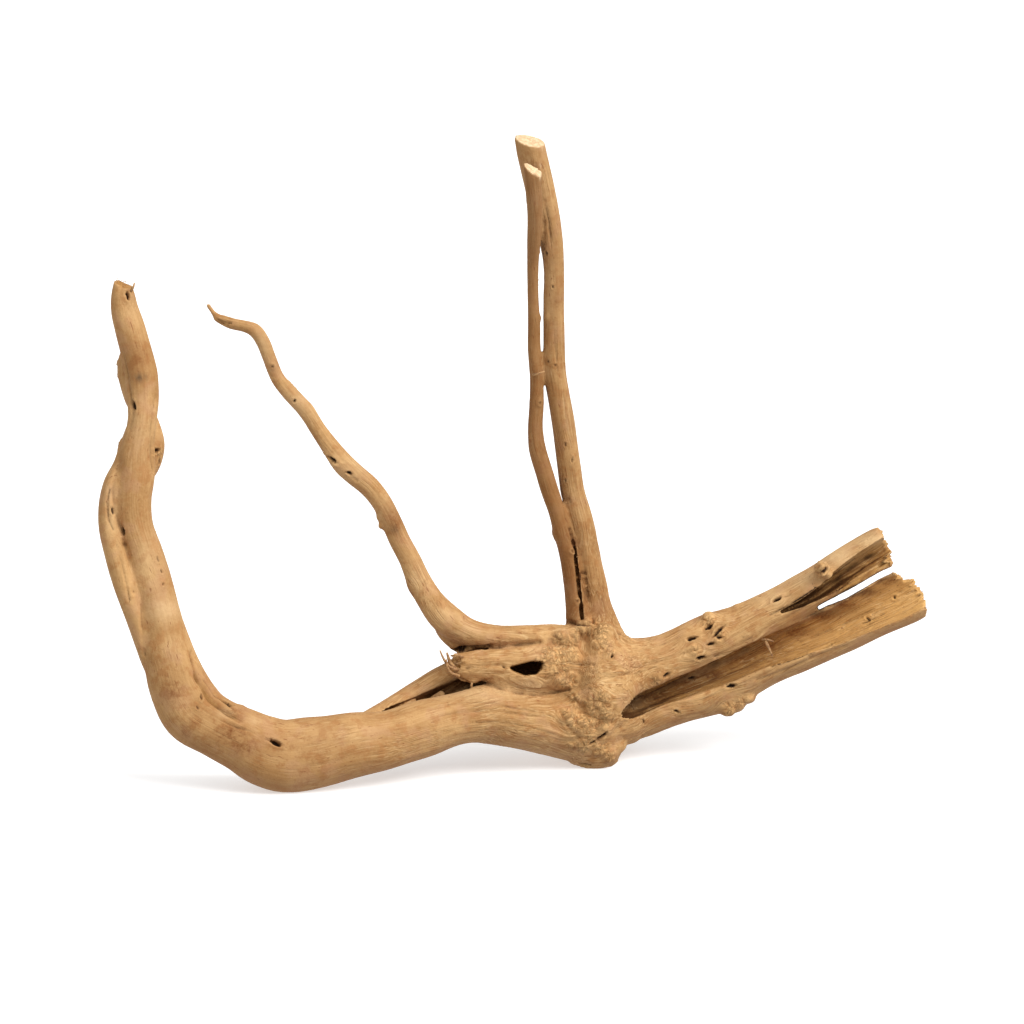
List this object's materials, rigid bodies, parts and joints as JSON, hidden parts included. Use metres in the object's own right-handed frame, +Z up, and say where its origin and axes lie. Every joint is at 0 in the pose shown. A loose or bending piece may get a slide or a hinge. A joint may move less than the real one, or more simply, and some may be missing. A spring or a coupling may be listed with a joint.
{
  "type": "desert driftwood",
  "caption": "Weathered desert driftwood: a bent trunk with a knobbly burl, a rising arm, thin branches and a split, hollow end, standing on its underside.",
  "frame": {"origin": "on the surface that the wood rests on, under the middle of its bounding box", "axes": "+X along the trunk from the arm to the split end, +Y away from the front side with the knot hole, +Z up"},
  "size_m": [0.3552, 0.1061, 0.2722],
  "materials": {
    "wood": "dry, weathered, barkless wood, honey brown, matt"
  },
  "bodies": {
    "root": {"driftwood": "wood"}
  },
  "joints": []
}
